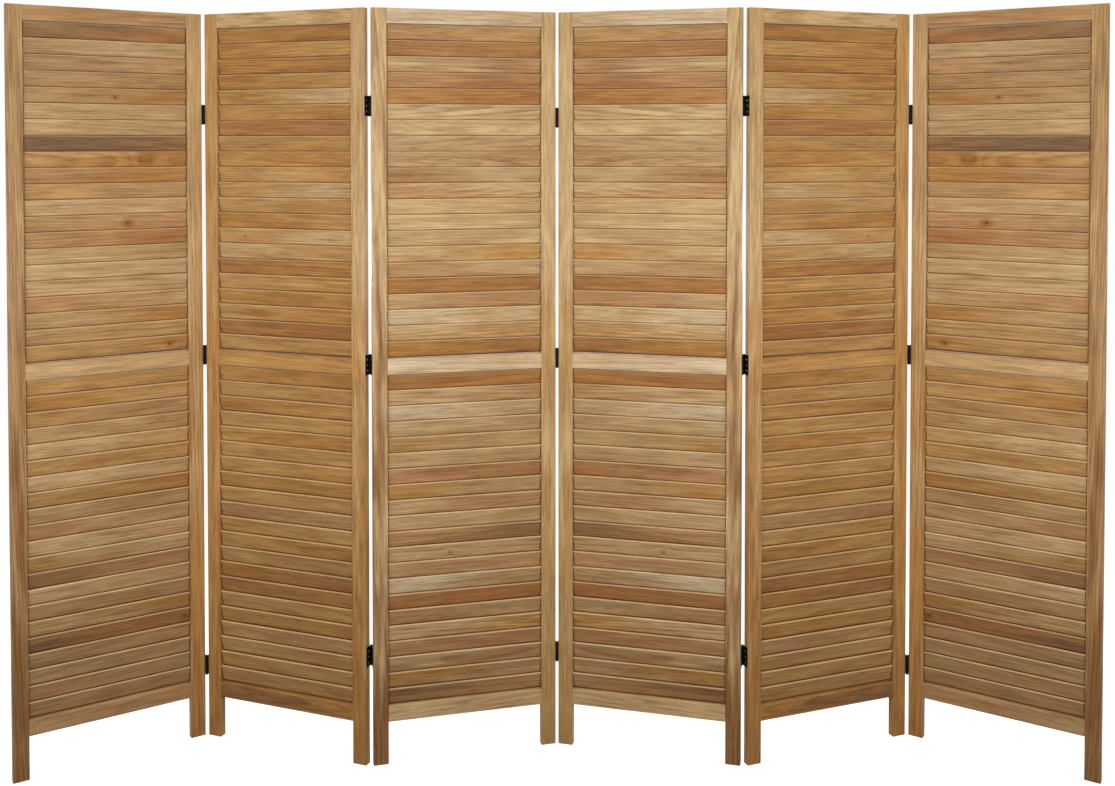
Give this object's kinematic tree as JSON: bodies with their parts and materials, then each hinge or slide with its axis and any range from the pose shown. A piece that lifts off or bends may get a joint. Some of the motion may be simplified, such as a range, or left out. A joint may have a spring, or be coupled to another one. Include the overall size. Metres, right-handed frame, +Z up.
{
  "type": "rotating slat room divider",
  "caption": "Folding zigzag room divider of hinged wooden panels, filled with narrow horizontal slats that turn on pegs in the stiles.",
  "frame": {"origin": "middle of the zigzag's footprint, on the floor", "axes": "+X along the divider, left to right seen from the front; -Y towards the front; +Z up"},
  "size_m": [2.3922, 0.2437, 1.7],
  "materials": {
    "frame_wood": "straight-grained honey-tan softwood, oiled",
    "slat_wood": "oiled softwood slats, tan to reddish brown",
    "hinge_metal": "black painted steel",
    "screw_steel": "bright zinc-plated steel"
  },
  "bodies": {
    "panel_1": {"panel_1_left_stile": "frame_wood", "panel_1_right_stile": "frame_wood", "panel_1_rails": "frame_wood", "panel_1_slats": "slat_wood", "panel_1_hinge_leaves": "hinge_metal", "panel_1_hinge_screws": "screw_steel"},
    "panel_2": {"panel_2_left_stile": "frame_wood", "panel_2_right_stile": "frame_wood", "panel_2_rails": "frame_wood", "panel_2_slats": "slat_wood", "panel_2_hinge_leaves": "hinge_metal", "panel_2_hinge_screws": "screw_steel", "panel_2_hinge_pins": "hinge_metal"},
    "panel_3": {"panel_3_left_stile": "frame_wood", "panel_3_right_stile": "frame_wood", "panel_3_rails": "frame_wood", "panel_3_lower_slats": "slat_wood", "panel_3_hinge_leaves": "hinge_metal", "panel_3_hinge_screws": "screw_steel"},
    "panel_4": {"panel_4_left_stile": "frame_wood", "panel_4_right_stile": "frame_wood", "panel_4_rails": "frame_wood", "panel_4_slats": "slat_wood", "panel_4_hinge_leaves": "hinge_metal", "panel_4_hinge_screws": "screw_steel", "panel_4_hinge_pins": "hinge_metal"},
    "panel_5": {"panel_5_left_stile": "frame_wood", "panel_5_right_stile": "frame_wood", "panel_5_rails": "frame_wood", "panel_5_slats": "slat_wood", "panel_5_hinge_leaves": "hinge_metal", "panel_5_hinge_screws": "screw_steel"},
    "panel_6": {"panel_6_left_stile": "frame_wood", "panel_6_right_stile": "frame_wood", "panel_6_rails": "frame_wood", "panel_6_slats": "slat_wood", "panel_6_hinge_leaves": "hinge_metal", "panel_6_hinge_screws": "screw_steel", "panel_6_hinge_pins": "hinge_metal"},
    "slat_01": {"panel_3_upper_slat_01": "slat_wood"},
    "slat_02": {"panel_3_upper_slat_02": "slat_wood"},
    "slat_03": {"panel_3_upper_slat_03": "slat_wood"},
    "slat_04": {"panel_3_upper_slat_04": "slat_wood"},
    "slat_05": {"panel_3_upper_slat_05": "slat_wood"},
    "slat_06": {"panel_3_upper_slat_06": "slat_wood"},
    "slat_07": {"panel_3_upper_slat_07": "slat_wood"},
    "slat_08": {"panel_3_upper_slat_08": "slat_wood"},
    "slat_09": {"panel_3_upper_slat_09": "slat_wood"},
    "slat_10": {"panel_3_upper_slat_10": "slat_wood"},
    "slat_11": {"panel_3_upper_slat_11": "slat_wood"},
    "slat_12": {"panel_3_upper_slat_12": "slat_wood"},
    "slat_13": {"panel_3_upper_slat_13": "slat_wood"},
    "slat_14": {"panel_3_upper_slat_14": "slat_wood"},
    "slat_15": {"panel_3_upper_slat_15": "slat_wood"},
    "slat_16": {"panel_3_upper_slat_16": "slat_wood"},
    "slat_17": {"panel_3_upper_slat_17": "slat_wood"},
    "slat_18": {"panel_3_upper_slat_18": "slat_wood"},
    "slat_19": {"panel_3_upper_slat_19": "slat_wood"},
    "slat_20": {"panel_3_upper_slat_20": "slat_wood"},
    "slat_21": {"panel_3_upper_slat_21": "slat_wood"}
  },
  "joints": [
    {"name": "fold_1_2", "type": "hinge", "parent": "panel_2", "child": "panel_1", "pos_m": [-0.82715, 0.10253, 0.85], "axis": [0, 0, -1], "range_deg": [-127, 53]},
    {"name": "fold_2_3", "type": "hinge", "parent": "panel_3", "child": "panel_2", "pos_m": [-0.41901, -0.02284, 0.85], "axis": [0, 0, 1], "range_deg": [-145, 35]},
    {"name": "fold_3_4", "type": "hinge", "parent": "panel_3", "child": "panel_4", "pos_m": [0, 0.05919, 0.85], "axis": [0, 0, 1], "range_deg": [-151, 29]},
    {"name": "fold_4_5", "type": "hinge", "parent": "panel_4", "child": "panel_5", "pos_m": [0.41901, -0.02284, 0.85], "axis": [0, 0, -1], "range_deg": [-145, 35]},
    {"name": "fold_5_6", "type": "hinge", "parent": "panel_5", "child": "panel_6", "pos_m": [0.82715, 0.10253, 0.85], "axis": [0, 0, 1], "range_deg": [-127, 53]},
    {"name": "slat_01_turn", "type": "hinge", "parent": "panel_3", "child": "slat_01", "pos_m": [-0.2095, 0.01817, 1.64581], "axis": [0.9681, 0.2504, 0], "range_deg": [0, 135]},
    {"name": "slat_02_turn", "type": "hinge", "parent": "panel_3", "child": "slat_02", "pos_m": [-0.2095, 0.01817, 1.61028], "axis": [0.9681, 0.2504, 0], "range_deg": [0, 135]},
    {"name": "slat_03_turn", "type": "hinge", "parent": "panel_3", "child": "slat_03", "pos_m": [-0.2095, 0.01817, 1.57475], "axis": [0.9681, 0.2504, 0], "range_deg": [0, 135]},
    {"name": "slat_04_turn", "type": "hinge", "parent": "panel_3", "child": "slat_04", "pos_m": [-0.2095, 0.01817, 1.53922], "axis": [0.9681, 0.2504, 0], "range_deg": [0, 135]},
    {"name": "slat_05_turn", "type": "hinge", "parent": "panel_3", "child": "slat_05", "pos_m": [-0.2095, 0.01817, 1.50369], "axis": [0.9681, 0.2504, 0], "range_deg": [0, 135]},
    {"name": "slat_06_turn", "type": "hinge", "parent": "panel_3", "child": "slat_06", "pos_m": [-0.2095, 0.01817, 1.46816], "axis": [0.9681, 0.2504, 0], "range_deg": [0, 135]},
    {"name": "slat_07_turn", "type": "hinge", "parent": "panel_3", "child": "slat_07", "pos_m": [-0.2095, 0.01817, 1.43263], "axis": [0.9681, 0.2504, 0], "range_deg": [0, 135]},
    {"name": "slat_08_turn", "type": "hinge", "parent": "panel_3", "child": "slat_08", "pos_m": [-0.2095, 0.01817, 1.39709], "axis": [0.9681, 0.2504, 0], "range_deg": [0, 135]},
    {"name": "slat_09_turn", "type": "hinge", "parent": "panel_3", "child": "slat_09", "pos_m": [-0.2095, 0.01817, 1.36156], "axis": [0.9681, 0.2504, 0], "range_deg": [0, 135]},
    {"name": "slat_10_turn", "type": "hinge", "parent": "panel_3", "child": "slat_10", "pos_m": [-0.2095, 0.01817, 1.32603], "axis": [0.9681, 0.2504, 0], "range_deg": [0, 135]},
    {"name": "slat_11_turn", "type": "hinge", "parent": "panel_3", "child": "slat_11", "pos_m": [-0.2095, 0.01817, 1.2905], "axis": [0.9681, 0.2504, 0], "range_deg": [0, 135]},
    {"name": "slat_12_turn", "type": "hinge", "parent": "panel_3", "child": "slat_12", "pos_m": [-0.2095, 0.01817, 1.25497], "axis": [0.9681, 0.2504, 0], "range_deg": [0, 135]},
    {"name": "slat_13_turn", "type": "hinge", "parent": "panel_3", "child": "slat_13", "pos_m": [-0.2095, 0.01817, 1.21944], "axis": [0.9681, 0.2504, 0], "range_deg": [0, 135]},
    {"name": "slat_14_turn", "type": "hinge", "parent": "panel_3", "child": "slat_14", "pos_m": [-0.2095, 0.01817, 1.18391], "axis": [0.9681, 0.2504, 0], "range_deg": [0, 135]},
    {"name": "slat_15_turn", "type": "hinge", "parent": "panel_3", "child": "slat_15", "pos_m": [-0.2095, 0.01817, 1.14837], "axis": [0.9681, 0.2504, 0], "range_deg": [0, 135]},
    {"name": "slat_16_turn", "type": "hinge", "parent": "panel_3", "child": "slat_16", "pos_m": [-0.2095, 0.01817, 1.11284], "axis": [0.9681, 0.2504, 0], "range_deg": [0, 135]},
    {"name": "slat_17_turn", "type": "hinge", "parent": "panel_3", "child": "slat_17", "pos_m": [-0.2095, 0.01817, 1.07731], "axis": [0.9681, 0.2504, 0], "range_deg": [0, 135]},
    {"name": "slat_18_turn", "type": "hinge", "parent": "panel_3", "child": "slat_18", "pos_m": [-0.2095, 0.01817, 1.04178], "axis": [0.9681, 0.2504, 0], "range_deg": [0, 135]},
    {"name": "slat_19_turn", "type": "hinge", "parent": "panel_3", "child": "slat_19", "pos_m": [-0.2095, 0.01817, 1.00625], "axis": [0.9681, 0.2504, 0], "range_deg": [0, 135]},
    {"name": "slat_20_turn", "type": "hinge", "parent": "panel_3", "child": "slat_20", "pos_m": [-0.2095, 0.01817, 0.97072], "axis": [0.9681, 0.2504, 0], "range_deg": [0, 135]},
    {"name": "slat_21_turn", "type": "hinge", "parent": "panel_3", "child": "slat_21", "pos_m": [-0.2095, 0.01817, 0.93519], "axis": [0.9681, 0.2504, 0], "range_deg": [0, 135]}
  ]
}
